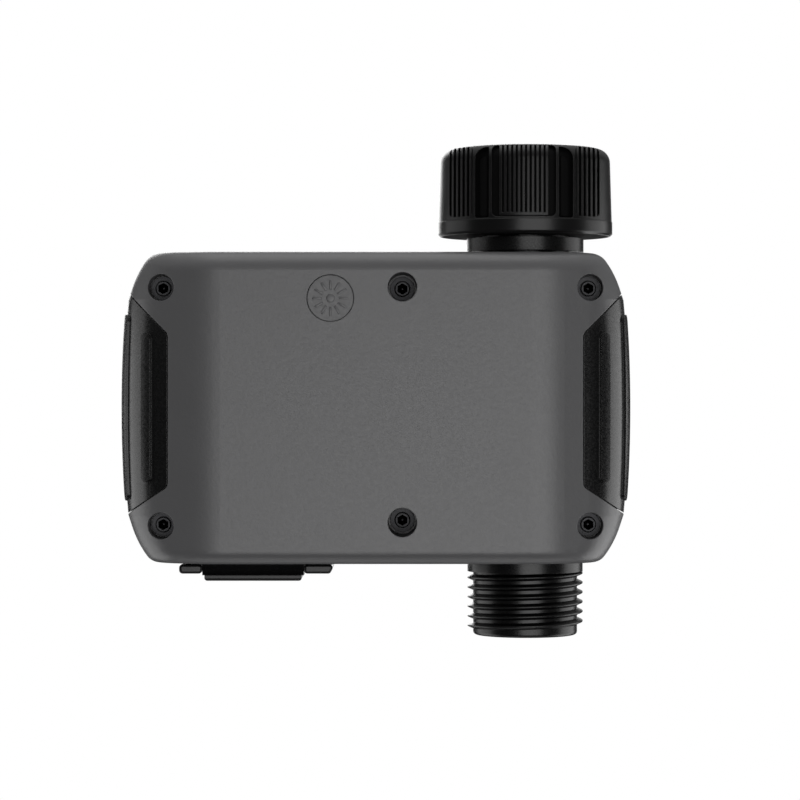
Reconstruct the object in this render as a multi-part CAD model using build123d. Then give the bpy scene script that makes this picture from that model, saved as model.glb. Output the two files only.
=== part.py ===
from build123d import *
from math import cos, radians, sin, sqrt, tan
import os

# Drip irrigation timer that hangs on a garden tap by its swivel nut.
# Millimetres, +Z up.  The water runs down the Z axis: the origin is the centre of the nut's mouth.
# The screw side (rear) of the housing faces -Y, the button side (front) faces +Y.

# ---- driving dimensions ---------------------------------------------------------------------------
# housing
housing_centre_x = -34.3
housing_top = -24.63
housing_height = 69.65
housing_half_width = 57.45
housing_half_depth = 27.0
wall = 3.0
plateau_half_width = 34.5
shoulder_radius = 22.0
facet_angle = 20.0
side_radius = 14.6
end_side_radius = 12.0
side_bow_radius = 235.0
cheek_start = 24.3
cheek_angle = 19.0
corner_rounding = 22.0
corner_height = 7.8
corner_steps = 3
top_edge_radius = 4.2
bottom_edge_radius = 3.2
inlet_pad_radius = 13.9
pad_height = 0.15
gasket_width = 0.8
gasket_height = 1.1
gasket_gap = 0.05
seam_width = 0.4
seam_depth = 0.3

# grips
grip_thickness = 1.6
grip_inner_x = 46.5
grip_inner_top = 16.45
grip_inner_bottom = -17.5
grip_tip_x = 56.5
grip_tip_top = 26.3
grip_tip_bottom = -24.0
grip_corner_radius = 1.5
grip_gap = 0.25
grip_seat_gap = 0.05
grip_bar_height = 0.6
middle_bar_width = 6.0
middle_bar_length = 45.2
outer_bar_width = 3.3
outer_bar_length = 42.0
outer_bar_angle = 20.5
inner_bar_width = 2.6
inner_bar_length = 33.5
inner_bar_angle = 55.0

# housing screws
corner_screw_dx = 47.9
middle_screw_x = -28.3
screw_top_z = -32.6
corner_screw_low_z = -85.8
middle_screw_low_z = -84.9
well_radius = 3.0
corner_well_depth = 10.0
middle_well_depth = 15.0
middle_well_radius = 3.25
well_wall = 1.2
boss_radius = 3.2
screw_radius = 1.4
screw_clearance = 0.2
screw_length = 21.0
head_radius = 2.75
head_flange = 0.8
head_height = 1.9
head_crown_radius = 1.75
head_edge_radius = 0.25
drive_radius = 1.25
drive_tip_radius = 0.2
drive_depth = 1.9
well_slope_share = 0.5

# medallion
medallion_x = -44.3
medallion_z = -35.1
medallion_radius = 5.1
medallion_thickness = 1.2
medallion_sink = 0.25
medallion_gap = 0.15

# inlet nut
nut_height = 20.1
nut_radius_top = 19.5
nut_radius_low = 20.0
nut_crown_radius = 3.2
nut_rim_height = 0.35
nut_flange_radius = 20.12
nut_flange_height = 3.2
nut_flange_chamfer = 0.5
tap_thread_radius = 13.55
tap_thread_length = 9.4
washer_seat_radius = 13.9
nut_lip_height = 4.3
nut_turn = -3.2
nut_pocket_depth = 1.2
nut_recess_depth = 1.8
nut_rib_pitch = 1.04
panel_half_width = 7.24
panel_bottom = -16.45
panel_corner_radius = 1.2
panel_rib_count = 11
panel_rib_width = 0.6
panel_ledge_gap = 0.2
panel_ledge_height = 0.7
recess_x = (7.85, 11.05)
recess_z = (-16.7, -0.7)
recess_arch_radius = 2.7
recess_corner_radius = 0.5
tongue_x = (8.35, 9.95)
tongue_z = (-16.4, -2.8)
tongue_arch_radius = 1.3
flank_x = (11.6, 17.0)
flank_bottom = -16.2
flank_corner_radius = 1.0
flank_rib_count = 5
flank_rib_first = 12.1
flank_rib_width = 0.5

# neck, collars and pipe
neck_radius = 10.0
inlet_bore_radius = 7.5
neck_top = -13.0
nut_running_gap = 0.35
collar_radius = 13.5
collar_height = 3.1
collar_gap = 0.5
pipe_radius = 10.1
outlet_bore_radius = 8.4
flange_radius = 12.0
flange_thickness = 1.6
hole_clearance = 0.3
outlet_collar_radius = 13.3
outlet_collar_height = 2.9
outlet_root_radius = 12.0
outlet_length = 17.52
outlet_rim_radius = 0.8
seal_radius = 0.6
ring_groove_depth = 1.0
ring_groove_top = -14.2
ring_thickness = 1.2
ring_outer_radius = 12.3
ring_opening_angle = 50.0
washer_thickness = 3.0
washer_gap = 0.35
washer_bore_radius = 8.2
strainer_rim_radius = 9.6
strainer_rim_thickness = 0.4
strainer_wall = 0.4
strainer_depth = 7.0
strainer_gap = 0.25

# diaphragm valve, its axis runs along -X
valve_z = -55.0
chamber_size = 36.0
chamber_corner_radius = 5.0
chamber_back_x = -5.0
chamber_face_x = -16.0
annulus_radius = 14.5
annulus_bottom_x = -9.0
seat_radius = 8.0
passage_radius = 6.0
seat_gap = 0.3
inlet_bore_end_z = -46.0
inlet_slot_width = 12.0
inlet_slot_height = 5.0
inlet_slot_reach = 1.0
chamber_floor = 2.0
diaphragm_radius = 14.2
diaphragm_thickness = 1.2
diaphragm_plate_radius = 7.5
diaphragm_plate_thickness = 0.8
diaphragm_lift = 1.8
bonnet_depth = 5.5
bonnet_chamber_radius = 14.6
bonnet_chamber_depth = 4.4
bonnet_screw_offset = 14.2
bonnet_screw_radius = 1.2
bonnet_screw_clearance = 0.05
bonnet_screw_head_radius = 2.4
bonnet_screw_head_height = 1.7
bonnet_screw_length = 10.5

# latching solenoid
tube_radius = 4.9
tube_wall = 0.6
coil_body_length = 17.4
yoke_thickness = 1.4
yoke_half_size = 10.2
bobbin_wall = 1.0
bobbin_flange_radius = 9.6
coil_radius = 9.2
plunger_radius = 4.0
plunger_length = 14.7
plunger_gap = 0.3
plunger_seal_radius = 2.0
plunger_seal_length = 1.2
spring_pocket_radius = 2.6
spring_radius = 2.0
spring_wire = 0.5
spring_pocket_depth = 4.2
pole_gap = 0.6
magnet_radius = 6.0
magnet_thickness = 2.6

# batteries, drawer and bay
drawer_x = -61.1
cell_radius = 7.25
cell_length = 49.4
cell_nub_radius = 2.75
cell_nub_length = 1.1
cell_edge_radius = 0.5
cell_gap = 0.6
drawer_wall = 1.0
drawer_floor = 1.5
drawer_top = 1.2
contact_spring_length = 1.8
contact_spring_radius = 3.2
contact_plate_thickness = 0.4
contact_plate_size = 9.0
drawer_clearance = 0.3
bay_wall = 1.2
bay_headroom = 0.4
bay_contact_radius = 1.1
bay_contact_reach = 0.1
door_gap = 0.3
door_depth = 35.0
door_plug_height = 3.4
door_plate_thickness = 0.9
wing_height = 2.1
wing_corner_radius = 0.8
wing_face_radius = 0.6
left_wing_x = (-78.6, -73.4)
right_wing_x = (-50.5, -44.6)
wing_slant = 1.1
lip_x = (-73.4, -50.5)
lip_height = 3.75
lip_step = 2.5
lip_lean = 1.1
lip_inset = 0.5
lip_edge_radius = 0.7
rim_margin = 1.6
door_seal_section = 1.6

# electronics and button
board_thickness = 1.6
board_setback = 5.4
board_x = (-76.0, -33.5)
board_z = (-84.0, -38.0)
board_pin_radius = 1.2
board_post_radius = 2.6
board_post_margin = 4.0
button_x = -54.8
button_z = -61.0
button_radius = 8.0
button_gap = 0.3
button_proud = 0.8
button_travel = 0.6
button_edge_radius = 0.6
button_flange_radius = 9.2
button_flange_thickness = 0.8
button_seal_radius = 11.4
button_seal_thickness = 1.0
switch_size = 6.0
switch_height = 1.7
switch_plunger_radius = 1.6
switch_plunger_length = 1.2
switch_hole_depth = 1.3
switch_hole_gap = 0.3
light_pipe_z = -46.0
light_pipe_radius = 1.5
led_height = 0.8
led_size = (2.0, 1.2, led_height)
radio_place = (-47.0, -77.6)
radio_size = (12.0, 12.0, 2.4)
chip_place = (-64.0, -74.0)
chip_size = (9.0, 9.0, 1.2)
connector_place = (-39.0, -52.0)
connector_size = (7.0, 9.0, 3.0)
capacitor_places = ((-70.0, -48.0), (-70.0, -57.0))
capacitor_size = (6.0, 6.0, 3.2)

# ---- sizes worked out from the driving dimensions -------------------------------------------------
housing_half_height = housing_height / 2
housing_middle_z = housing_top - housing_half_height
housing_bottom = housing_top - housing_height
corner_start = housing_half_height - corner_height
inner_face_y = housing_half_depth - wall
medallion_face_y = -housing_half_depth + medallion_sink
nut_flange_top = nut_flange_height - nut_height
collar_top = -(nut_height + collar_gap)
outlet_end = housing_bottom - outlet_length
bonnet_face_x = chamber_face_x - bonnet_depth
chamber_roof_x = chamber_face_x - bonnet_chamber_depth
outlet_bore_roof = valve_z - annulus_radius - chamber_floor
yoke_front_x = bonnet_face_x
bobbin_front_x = yoke_front_x - yoke_thickness
bobbin_back_x = bobbin_front_x - coil_body_length + 2 * yoke_thickness
yoke_back_x = bobbin_back_x - yoke_thickness
plunger_front_x = chamber_face_x - diaphragm_thickness - diaphragm_plate_thickness - plunger_gap
plunger_back_x = plunger_front_x - plunger_length
pole_front_x = plunger_back_x - diaphragm_lift - pole_gap
drawer_half = cell_radius * 2 + cell_gap / 2 + drawer_wall
bay_inner_half = drawer_half + drawer_clearance
bay_half = bay_inner_half + bay_wall
door_top = housing_bottom - pad_height - door_gap
drawer_bottom = door_top + door_plug_height
cell_bottom = drawer_bottom + drawer_floor + contact_spring_length
cell_top = cell_bottom + cell_length + cell_nub_length
drawer_head = cell_top + contact_plate_thickness + drawer_top
bay_roof = drawer_head + bay_headroom
board_y = inner_face_y - board_setback
board_front_y = board_y + board_thickness
button_flange_y = inner_face_y - button_gap
stem_end_y = board_front_y + switch_height + button_travel
big = 200.0


# ---- helpers --------------------------------------------------------------------------------------
def rod_z(radius, low, high, x=0.0, y=0.0):
    return Pos(x, y, (low + high) / 2) * Cylinder(radius, high - low)


def rod_y(radius, low, high, x, z):
    return Pos(x, (low + high) / 2, z) * Rot(90, 0, 0) * Cylinder(radius, high - low)


def rod_x(radius, low, high, y=0.0, z=valve_z):
    return Pos((low + high) / 2, y, z) * Rot(0, 90, 0) * Cylinder(radius, high - low)


def block(x, y, z):
    """A box given by its low and high limits on each axis."""
    middle = [(low + high) / 2 for low, high in (x, y, z)]
    size = [high - low for low, high in (x, y, z)]
    return Pos(*middle) * Box(*size)


def square_tube_form(half, low, high, corner, x, y=0.0):
    """An upright square bar with rounded corners."""
    plan = Pos(x, y, low) * RectangleRounded(2 * half, 2 * half, corner)
    return extrude(plan, high - low)


def save(part, name):
    export_step(part, f"parts/{name}.step")


# ---- housing --------------------------------------------------------------------------------------
def housing_half_width_at(offset):
    """Half width of the bare housing at a height above or below its middle."""
    height = abs(offset)
    bow = side_bow_radius - sqrt(side_bow_radius ** 2 - min(height, cheek_start) ** 2)
    cheek = max(0.0, min(height, corner_start) - cheek_start) * tan(radians(cheek_angle))
    return housing_half_width - bow - cheek - corner_loss(height)


def corner_loss(height):
    """Width lost above a cheek, where the side leans in along the corner's arc."""
    climb = max(0.0, height - corner_start)
    sine = sin(radians(cheek_angle)) + climb / corner_rounding
    return corner_rounding * (cos(radians(cheek_angle)) - sqrt(1 - sine ** 2))


def housing_section(offset, inset):
    """Plan of the housing at one height: plateau, shoulder, facet and rounded side, front and rear."""
    half_width = housing_half_width_at(offset)
    share = min(1.0, abs(offset) / housing_half_height)
    round_side = side_radius - (side_radius - end_side_radius) * share ** 2
    normal = (sin(radians(facet_angle)), cos(radians(facet_angle)))
    shoulder_y = housing_half_depth - shoulder_radius
    facet_distance = plateau_half_width * normal[0] + shoulder_y * normal[1] + shoulder_radius
    side_x = half_width - round_side
    side_y = (facet_distance - round_side - side_x * normal[0]) / normal[1]

    side_end = (half_width - inset, 0)
    side_start = (half_width - inset, side_y)
    facet_outer = (side_x + (round_side - inset) * normal[0], side_y + (round_side - inset) * normal[1])
    facet_inner = (plateau_half_width + (shoulder_radius - inset) * normal[0],
                   shoulder_y + (shoulder_radius - inset) * normal[1])
    plateau_end = (plateau_half_width, housing_half_depth - inset)
    plateau_start = (-plateau_half_width, housing_half_depth - inset)
    quarter = Line(side_end, side_start)
    quarter += CenterArc((side_x, side_y), round_side - inset, 0, 90 - facet_angle)
    quarter += Line(facet_outer, facet_inner)
    quarter += CenterArc((plateau_half_width, shoulder_y), shoulder_radius - inset,
                         90 - facet_angle, facet_angle)
    half = quarter + mirror(quarter, Plane.YZ) + Line(plateau_end, plateau_start)
    outline = make_face(half + mirror(half, Plane.XZ))
    return Pos(housing_centre_x, 0, housing_middle_z + offset) * outline


def housing_middle(inset):
    """The bowed stretch of the housing between its cheeks."""
    return loft([housing_section(height, inset) for height in (-cheek_start, 0.0, cheek_start)])


def housing_form(inset):
    """The housing's block, shrunk by an inset: bowed middle, straight cheeks, then rounded corners."""
    rise = housing_half_height - inset - corner_start
    corner = [corner_start + rise * step / corner_steps for step in range(corner_steps + 1)]
    form = housing_middle(inset)
    for side in (-1, 1):
        for heights in ((cheek_start, corner_start), corner):
            form += loft([housing_section(side * height, inset) for height in heights])
    return form


def rounded_housing_form():
    form = housing_form(0)
    form = fillet(form.faces().sort_by(Axis.Z)[-1].edges(), top_edge_radius)
    return fillet(form.faces().sort_by(Axis.Z)[0].edges(), bottom_edge_radius)


def grip_outline(side, gap):
    """Prism through the housing with the six-sided outline of a side grip."""
    slope_top = (grip_tip_top - grip_inner_top) / (grip_tip_x - grip_inner_x)
    slope_bottom = (grip_tip_bottom - grip_inner_bottom) / (grip_tip_x - grip_inner_x)
    reach = housing_half_width + 5.0
    outline = Polygon(
        (grip_inner_x, grip_inner_top),
        (reach, grip_inner_top + slope_top * (reach - grip_inner_x)),
        (reach, grip_inner_bottom + slope_bottom * (reach - grip_inner_x)),
        (grip_inner_x, grip_inner_bottom),
        align=None,
    )
    outline = fillet(outline.vertices().sort_by(Axis.X)[:2], grip_corner_radius)
    if gap:
        outline = offset(outline, gap)
    plane = Plane(origin=(housing_centre_x, 0, housing_middle_z), x_dir=(side, 0, 0), z_dir=(0, -side, 0))
    return extrude(plane * outline, big / 2, both=True)


def grip_bar(side, angle, y_sign, width, length):
    """Round-ended bar that stands square to the rounded side, at an angle from its middle."""
    turn = radians(angle)
    centre_x = housing_half_width - side_radius
    normal = (side * cos(turn), y_sign * sin(turn), 0)
    centre_y = y_sign * side_flat_half() if angle else 0.0
    origin = (housing_centre_x + side * centre_x, centre_y, housing_middle_z)
    plane = Plane(origin=origin, x_dir=(0, 0, 1), z_dir=normal)
    return extrude(plane * SlotOverall(length, width), 2 * side_radius)


def side_flat_half():
    """Half width of the flat strip between the front and rear rounds of the side."""
    normal = (sin(radians(facet_angle)), cos(radians(facet_angle)))
    shoulder_y = housing_half_depth - shoulder_radius
    facet_distance = plateau_half_width * normal[0] + shoulder_y * normal[1] + shoulder_radius
    return (facet_distance - side_radius - (housing_half_width - side_radius) * normal[0]) / normal[1]


def make_grip(side, outer, floor, proud):
    grip = (outer & grip_outline(side, 0)) - floor
    bars = grip_bar(side, 0, 1, middle_bar_width, middle_bar_length)
    for y_sign in (-1, 1):
        bars += grip_bar(side, outer_bar_angle, y_sign, outer_bar_width, outer_bar_length)
        bars += grip_bar(side, inner_bar_angle, y_sign, inner_bar_width, inner_bar_length)
    return grip + ((proud & bars) - floor)


def screw_places():
    """Every housing screw as x, z, well radius and well depth."""
    corners = [(housing_centre_x + side * corner_screw_dx, z, well_radius, corner_well_depth)
               for side in (-1, 1) for z in (screw_top_z, corner_screw_low_z)]
    middles = [(middle_screw_x, z, middle_well_radius, middle_well_depth)
               for z in (screw_top_z, middle_screw_low_z)]
    return corners, middles


def well_floor_y(x, depth):
    """The wells are sunk from the plateau, and from the facet near the sides."""
    beyond = max(0.0, abs(x - housing_centre_x) - plateau_half_width)
    return -housing_half_depth + depth + beyond * tan(radians(facet_angle)) * well_slope_share


def rear_bosses(outer):
    bosses = Part()
    for x, z, radius, depth in sum(screw_places(), []):
        floor = well_floor_y(x, depth)
        bosses += rod_y(radius + well_wall, -housing_half_depth, floor + well_wall, x, z)
        bosses += rod_y(boss_radius, floor, 0, x, z)
    return bosses & outer


def rear_wells():
    wells = Part()
    for x, z, radius, depth in sum(screw_places(), []):
        floor = well_floor_y(x, depth)
        wells += rod_y(radius, -housing_half_depth - wall, floor, x, z)
        wells += rod_y(screw_radius + screw_clearance, floor, gasket_height, x, z)
    return wells


def front_bosses(outer):
    bosses = Part()
    for x, z, radius, depth in sum(screw_places(), []):
        bosses += rod_y(boss_radius, 0, inner_face_y + wall / 2, x, z)
    for x in (board_x[0] + board_post_margin, board_x[1] - board_post_margin):
        for z in (board_z[0] + board_post_margin, board_z[1] - board_post_margin):
            bosses += rod_y(board_post_radius, board_front_y, inner_face_y, x, z)
            bosses += rod_y(board_pin_radius, board_y - screw_clearance, inner_face_y, x, z)
    return bosses & outer


def front_pilots():
    pilots = Part()
    for x, z, radius, depth in sum(screw_places(), []):
        pilots += rod_y(screw_radius, -gasket_height, well_floor_y(x, depth) + screw_length, x, z)
    return pilots


def water_path_hole():
    """Round holes through the top and bottom walls for the neck and the outlet, with seal seats."""
    hole = rod_z(pipe_radius + hole_clearance, housing_bottom - wall, housing_top + wall)
    hole += rod_z(pipe_radius + 2 * seal_radius, housing_top - wall, housing_top - wall + 2 * seal_radius)
    hole += rod_z(pipe_radius + 2 * seal_radius,
                  housing_bottom + wall - 2 * seal_radius, housing_bottom + wall)
    return hole


def bay_envelope():
    return square_tube_form(bay_half, housing_bottom - wall, bay_roof + bay_wall, bay_wall, drawer_x)


def outer_pads():
    """Low lands round the inlet and round the battery opening."""
    pads = rod_z(inlet_pad_radius, housing_top - wall, housing_top + pad_height)
    pads += square_tube_form(
        bay_half + rim_margin, housing_bottom - pad_height, housing_bottom + wall,
        bay_wall + rim_margin, drawer_x)
    return pads


def gasket_ring(gap):
    """Flat seal in the parting plane, near the inner edge of the wall, or its groove with the gap added."""
    ring = housing_form(wall - gasket_width - gasket_gap - gap) - housing_form(wall - gasket_gap + gap)
    ring &= Box(big, gasket_height + 2 * gap, big)
    ring -= rod_z(inlet_pad_radius - gap, housing_bottom - wall, housing_top + wall)
    return ring - square_tube_form(
        bay_half + rim_margin - gap, housing_bottom - wall, bay_roof, bay_wall, drawer_x)


def housing_shell(outer, cavity):
    shell = outer + outer_pads() - cavity
    shell -= water_path_hole() + bay_envelope()
    for side in (-1, 1):
        shell -= grip_outline(side, grip_gap) & (outer - housing_form(grip_thickness))
    return shell - (Box(big, seam_width, big) - housing_form(seam_depth))


def make_rear_cover(shell, outer, groove):
    cover = shell & block((-big, big), (-big, 0), (-big, big))
    cover += rear_bosses(outer) - bay_envelope()
    cover -= rear_wells() + groove
    recess_y = medallion_face_y + medallion_thickness
    return cover - rod_y(medallion_radius + medallion_gap, -big, recess_y, medallion_x, medallion_z)


def make_front_cover(shell, outer, groove):
    cover = shell & block((-big, big), (0, big), (-big, big))
    cover += front_bosses(outer) - bay_envelope()
    cover -= front_pilots() + groove
    cover -= rod_y(button_radius + button_gap, 0, big, button_x, button_z)
    return cover - rod_y(light_pipe_radius, board_front_y, big, button_x, light_pipe_z)


def housing_screw(x, z, depth):
    """Self-tapping screw with a flanged head and a deep, tapering six-sided drive."""
    seat = well_floor_y(x, depth)
    crown = rod_y(head_crown_radius, seat - head_height, seat, x, z)
    crown = fillet(crown.faces().sort_by(Axis.Y)[0].edges(), head_edge_radius)
    screw = crown + rod_y(head_radius, seat - head_flange, seat, x, z)
    screw += rod_y(screw_radius, seat, seat + screw_length, x, z)
    plane = Plane(origin=(x, seat - head_height, z), z_dir=(0, 1, 0))
    mouth = plane * RegularPolygon(drive_radius, 6)
    tip = plane.offset(drive_depth) * RegularPolygon(drive_tip_radius, 6)
    return screw - loft([mouth, tip])


def make_medallion():
    return rod_y(medallion_radius, medallion_face_y, medallion_face_y + medallion_thickness,
                 medallion_x, medallion_z)


# ---- inlet nut and neck fittings ------------------------------------------------------------------
def face_patch(x_limits, z_limits, radius=0.0):
    """Rectangle on the nut's mould face, given by its limits, with equal corner radii."""
    width = x_limits[1] - x_limits[0]
    height = z_limits[1] - z_limits[0]
    place = Pos(sum(x_limits) / 2, sum(z_limits) / 2)
    return place * (RectangleRounded(width, height, radius) if radius else Rectangle(width, height))


def arched_patch(x_limits, z_limits, arch_radius, corner_radius):
    """Patch whose upper outer corner is a wide arch."""
    patch = face_patch(x_limits, z_limits)
    corners = patch.vertices().sort_by(Axis.Y)
    arch = corners[2:].sort_by(Axis.X)[-1]
    patch = fillet(arch, arch_radius)
    return fillet(patch.vertices().sort_by(Axis.Y)[:2], corner_radius)


def ribs(centres, width, bottom):
    """Upright ribs left standing in a pocket, from its bottom to the rim."""
    half = width / 2
    return [face_patch((centre - half, centre + half), (bottom, 0)) for centre in centres]


def panel_cut():
    """Wide pocket with its ledge and ribs left standing."""
    pocket = face_patch((-panel_half_width, panel_half_width), (panel_bottom, -nut_rim_height),
                        panel_corner_radius)
    middle = (panel_rib_count - 1) / 2
    centres = [nut_rib_pitch * (index - middle) for index in range(panel_rib_count)]
    end = centres[-1] + panel_rib_width / 2
    ledge_low = panel_bottom + panel_ledge_gap
    pocket -= face_patch((-end, end), (ledge_low, ledge_low + panel_ledge_height))
    for rib in ribs(centres, panel_rib_width, ledge_low):
        pocket -= rib
    return pocket


def flank_cut():
    """Pocket of the narrow side ribs."""
    pocket = face_patch(flank_x, (flank_bottom, -nut_rim_height), flank_corner_radius)
    centres = [flank_rib_first + nut_rib_pitch * index for index in range(flank_rib_count)]
    for rib in ribs(centres, flank_rib_width, flank_bottom):
        pocket -= rib
    return pocket


def nut_drum(depth):
    """The nut's drum above its flange, turned down by a depth below its rim."""
    top = -nut_rim_height if depth else 0.0
    profile = Polyline((0, nut_flange_top), (0, top), (nut_radius_top - depth, top),
                       (nut_radius_low - depth, nut_flange_top), close=True)
    section = make_face(profile)
    crown = section.vertices().sort_by(Axis.Y)[2:].sort_by(Axis.X)[-1]
    section = fillet(crown, nut_crown_radius - depth / 2)
    return revolve(Plane.XZ * section, Axis.Z)


def both_faces(outline):
    """Prism cut into the nut from its rear and front mould faces."""
    reach = 2 * nut_radius_low
    rear = extrude(Plane.XZ * outline, reach)
    return rear + Rot(0, 0, 180) * rear


def make_inlet_nut():
    """Drum with two ribbed grip panels, arched recesses beside them, and ribbed flanks."""
    recess = arched_patch(recess_x, recess_z, recess_arch_radius, recess_corner_radius)
    tongue = arched_patch(tongue_x, tongue_z, tongue_arch_radius, recess_corner_radius)
    side = recess + flank_cut()
    deep = recess - tongue
    drum = nut_drum(0) - both_faces(panel_cut())
    middle = nut_drum(nut_pocket_depth)
    for outline in (side, mirror(side, Plane.YZ)):
        drum -= both_faces(outline)
    for outline in (deep, mirror(deep, Plane.YZ)):
        middle -= both_faces(outline)
    nut = drum + middle + nut_drum(nut_recess_depth)
    flange = rod_z(nut_flange_radius, -nut_height, nut_flange_top)
    nut += chamfer(flange.faces().sort_by(Axis.Z)[0].edges(), nut_flange_chamfer)
    lip_top = nut_lip_height - nut_height
    nut -= rod_z(neck_radius + nut_running_gap, -nut_height, lip_top)
    nut -= rod_z(washer_seat_radius, lip_top, -tap_thread_length)
    nut -= rod_z(tap_thread_radius, -tap_thread_length, 0)
    return Rot(0, 0, nut_turn) * nut


def make_washer():
    outer = tap_thread_radius - washer_gap
    low = neck_top + strainer_rim_thickness
    return rod_z(outer, low, low + washer_thickness) - rod_z(washer_bore_radius, low, low + washer_thickness)


def make_strainer():
    outer = inlet_bore_radius - strainer_gap
    floor = neck_top - strainer_depth
    cup = rod_z(outer, floor, neck_top) - rod_z(outer - strainer_wall, floor + strainer_wall, neck_top)
    rim = rod_z(strainer_rim_radius, neck_top, neck_top + strainer_rim_thickness)
    rim -= rod_z(outer - strainer_wall, neck_top, neck_top + strainer_rim_thickness)
    return cup + rim


def make_retaining_ring():
    low = ring_groove_top - ring_thickness
    ring = rod_z(ring_outer_radius, low, ring_groove_top)
    ring -= rod_z(neck_radius - ring_groove_depth, low, ring_groove_top)
    half_mouth = radians(ring_opening_angle / 2)
    mouth = Polygon((0, 0), (big, big * tan(half_mouth)), (big, -big * tan(half_mouth)), align=None)
    return ring - extrude(Pos(0, 0, low) * mouth, ring_thickness)


def make_seal(low):
    """O-ring round the pipe, in the seat between the housing wall and the pipe's flange."""
    section = Plane.XZ * Pos(pipe_radius + seal_radius, low + seal_radius) * Circle(seal_radius)
    return revolve(section, Axis.Z)


# ---- valve ----------------------------------------------------------------------------------------
def chamber_block(x_low, x_high):
    plane = Plane(origin=(x_low, 0, valve_z), x_dir=(0, 1, 0), z_dir=(1, 0, 0))
    outline = plane * RectangleRounded(chamber_size, chamber_size, chamber_corner_radius)
    return extrude(outline, x_high - x_low)


def bonnet_screw_places():
    return [(y, valve_z + z) for y in (-bonnet_screw_offset, bonnet_screw_offset)
            for z in (-bonnet_screw_offset, bonnet_screw_offset)]


def pipe_outside():
    inner_top = housing_top - wall
    inner_bottom = housing_bottom + wall
    collar_low = collar_top - collar_height
    thread_top = housing_bottom - outlet_collar_height
    body = rod_z(neck_radius, collar_low, neck_top)
    body += rod_z(collar_radius, collar_low, collar_top)
    body += rod_z(pipe_radius, housing_bottom, collar_low)
    body += rod_z(flange_radius, inner_top - flange_thickness, inner_top)
    body += rod_z(flange_radius, inner_bottom, inner_bottom + flange_thickness)
    body += rod_z(outlet_collar_radius, thread_top, housing_bottom)
    stub = rod_z(outlet_root_radius, outlet_end, thread_top)
    stub = fillet(stub.edges().sort_by(Axis.Z)[0], outlet_rim_radius)
    return body + stub


def make_valve_body():
    body = pipe_outside()
    body += chamber_block(chamber_face_x, chamber_back_x)
    body -= rod_z(inlet_bore_radius, inlet_bore_end_z, neck_top)
    body -= rod_x(annulus_radius, chamber_face_x, annulus_bottom_x)
    body += rod_x(seat_radius, chamber_face_x + seat_gap, annulus_bottom_x)
    slot_low = inlet_bore_end_z
    body -= block((annulus_bottom_x - inlet_slot_reach, 0), (-inlet_slot_width / 2, inlet_slot_width / 2),
                  (slot_low, slot_low + inlet_slot_height))
    body -= rod_x(passage_radius, chamber_face_x, 0)
    body -= rod_z(outlet_bore_radius, outlet_end, outlet_bore_roof)
    body -= rod_z(passage_radius, outlet_end, valve_z)
    ring_low = ring_groove_top - ring_thickness
    body -= rod_z(collar_radius, ring_low, ring_groove_top) - rod_z(
        neck_radius - ring_groove_depth, ring_low, ring_groove_top)
    for y, z in bonnet_screw_places():
        tip = bonnet_face_x + bonnet_screw_length
        body -= rod_x(bonnet_screw_radius + bonnet_screw_clearance, chamber_face_x, tip, y, z)
    return body


def make_diaphragm():
    disc = rod_x(diaphragm_radius, chamber_face_x - diaphragm_thickness, chamber_face_x)
    plate_x = chamber_face_x - diaphragm_thickness - diaphragm_plate_thickness
    return disc + rod_x(diaphragm_plate_radius, plate_x, chamber_face_x - diaphragm_thickness)


def make_bonnet():
    bonnet = chamber_block(bonnet_face_x, chamber_face_x)
    bonnet -= rod_x(bonnet_chamber_radius, chamber_roof_x, chamber_face_x)
    bonnet -= rod_x(tube_radius, bonnet_face_x, chamber_roof_x)
    for y, z in bonnet_screw_places():
        bonnet -= rod_x(bonnet_screw_radius + bonnet_screw_clearance, bonnet_face_x, chamber_face_x, y, z)
    return bonnet


def bonnet_screw(y, z):
    head = rod_x(bonnet_screw_head_radius, bonnet_face_x - bonnet_screw_head_height, bonnet_face_x, y, z)
    return head + rod_x(bonnet_screw_radius, bonnet_face_x, bonnet_face_x + bonnet_screw_length, y, z)


def make_plunger_tube():
    tube = rod_x(tube_radius, yoke_back_x, chamber_roof_x)
    return tube - rod_x(tube_radius - tube_wall, yoke_back_x, chamber_roof_x)


def make_fixed_pole():
    return rod_x(tube_radius - tube_wall, yoke_back_x, pole_front_x)


def make_bobbin():
    bobbin = rod_x(bobbin_flange_radius, bobbin_back_x, bobbin_front_x)
    bobbin -= rod_x(tube_radius, bobbin_back_x, bobbin_front_x)
    winding = rod_x(bobbin_flange_radius, bobbin_back_x + bobbin_wall, bobbin_front_x - bobbin_wall)
    winding -= rod_x(tube_radius + bobbin_wall, bobbin_back_x + bobbin_wall, bobbin_front_x - bobbin_wall)
    return bobbin - winding


def make_winding():
    low = bobbin_back_x + bobbin_wall
    high = bobbin_front_x - bobbin_wall
    return rod_x(coil_radius, low, high) - rod_x(tube_radius + bobbin_wall, low, high)


def make_yoke():
    half = yoke_half_size
    outer = block((yoke_back_x, yoke_front_x), (-half, half),
                  (valve_z - half - yoke_thickness, valve_z + half))
    inner = block((bobbin_back_x, bobbin_front_x), (-half, half), (valve_z - half, valve_z + half))
    return outer - inner - rod_x(tube_radius, yoke_back_x, yoke_front_x)


def make_magnet():
    return rod_x(magnet_radius, yoke_back_x - magnet_thickness, yoke_back_x)


def make_plunger():
    plunger = rod_x(plunger_radius, plunger_back_x, plunger_front_x)
    plunger -= rod_x(plunger_seal_radius, plunger_front_x - plunger_seal_length, plunger_front_x)
    return plunger - rod_x(spring_pocket_radius, plunger_back_x, plunger_back_x + spring_pocket_depth)


def make_plunger_seal():
    return rod_x(plunger_seal_radius, plunger_front_x - plunger_seal_length, plunger_front_x)


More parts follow.
